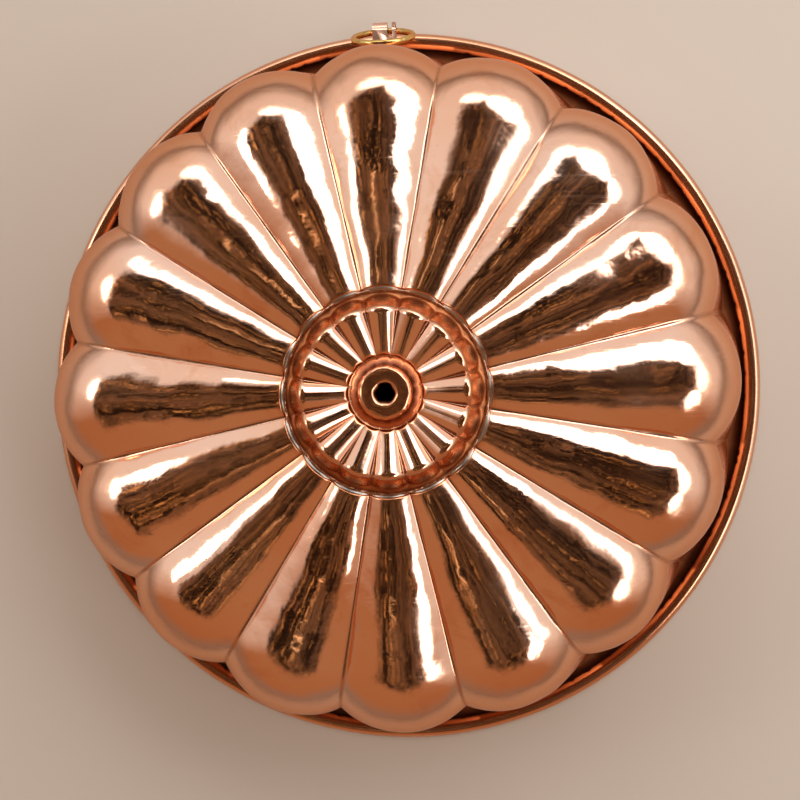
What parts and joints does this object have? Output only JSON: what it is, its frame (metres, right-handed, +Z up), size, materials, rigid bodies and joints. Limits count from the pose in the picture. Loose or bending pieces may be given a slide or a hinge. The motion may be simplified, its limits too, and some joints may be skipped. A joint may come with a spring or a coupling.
{
  "type": "bundt pan",
  "caption": "Polished copper bundt mould with round radial flutes, a raised fluted second tier, a centre tube, a wired rim and a small hanging ring.",
  "frame": {"origin": "centre of the plane that the rim rests on", "axes": "+Z up through the centre tube to the closed, fluted side; +Y towards the hanger; the mould lies rim-down"},
  "size_m": [0.26, 0.2616, 0.0834],
  "materials": {
    "copper_body": null,
    "copper_crown": null,
    "copper_tube": null,
    "copper_strap": null,
    "copper_rivet": null,
    "rim_steel": "plain iron wire",
    "brass_ring": "polished brass"
  },
  "bodies": {
    "pan": {"pan_body": "copper_body", "rim_wire": "rim_steel", "crown": "copper_crown", "centre_tube": "copper_tube", "hanger_strap": "copper_strap", "left_rivet": "copper_rivet", "right_rivet": "copper_rivet", "left_burr": "copper_rivet", "right_burr": "copper_rivet"},
    "ring": {"hanger_ring": "brass_ring"}
  },
  "joints": [
    {"name": "ring_swing", "type": "hinge", "parent": "pan", "child": "ring", "pos_m": [0, 0.1287, 0.0086], "axis": [-1, 0, 0], "range_deg": [0, 143]}
  ]
}
